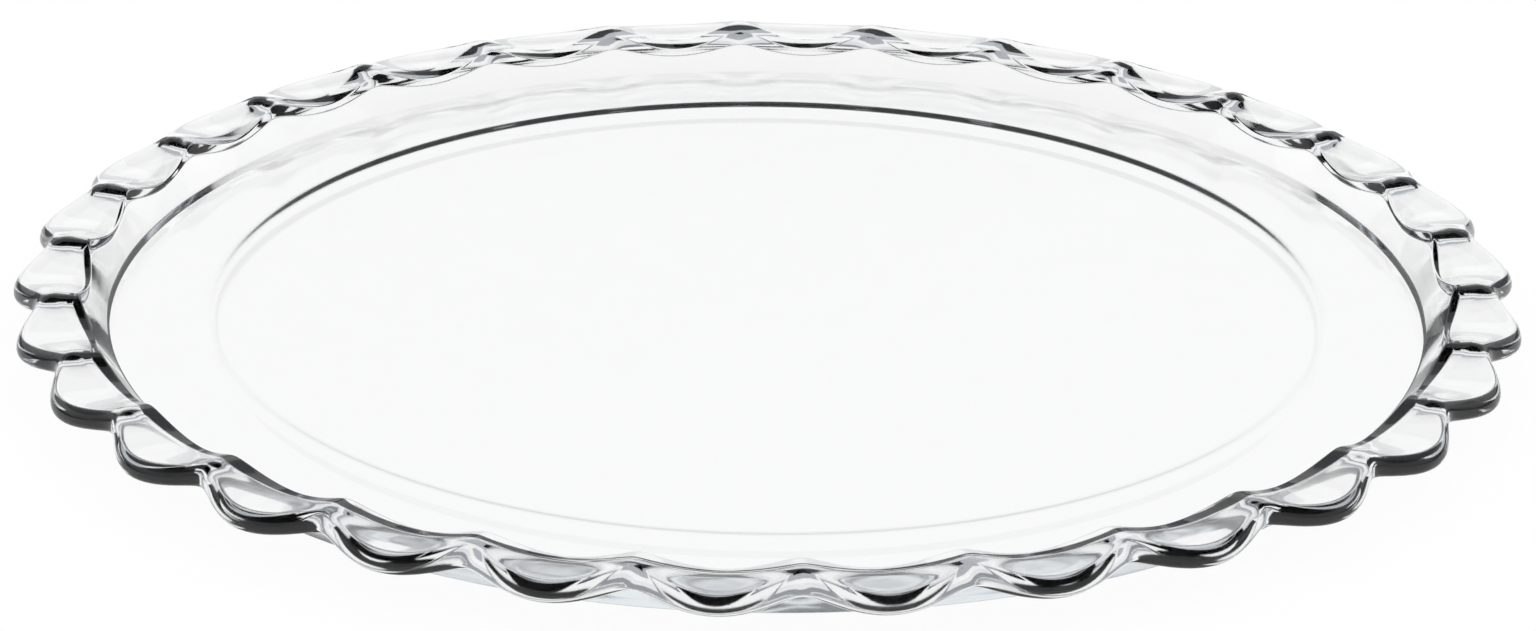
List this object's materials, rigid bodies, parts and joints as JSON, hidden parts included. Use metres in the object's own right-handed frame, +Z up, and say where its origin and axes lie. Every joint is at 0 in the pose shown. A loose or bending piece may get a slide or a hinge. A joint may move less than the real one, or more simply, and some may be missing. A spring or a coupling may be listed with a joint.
{
  "type": "serving plate",
  "caption": "Round clear glass serving plate with a flat well, a sloping wall and a scalloped rim of shallow scooped petals, for serving food at a table.",
  "frame": {"origin": "middle of the base, on the table that the plate stands on", "axes": "+Z up along the plate's axis, +X through the tip of a petal, +Y through the notch between two petals"},
  "size_m": [0.3236, 0.3218, 0.0153],
  "materials": {
    "glass": "clear pressed soda-lime glass, fire-polished, with a faint blue-green tint through its thickness"
  },
  "bodies": {
    "root": {"plate": "glass"}
  },
  "joints": []
}
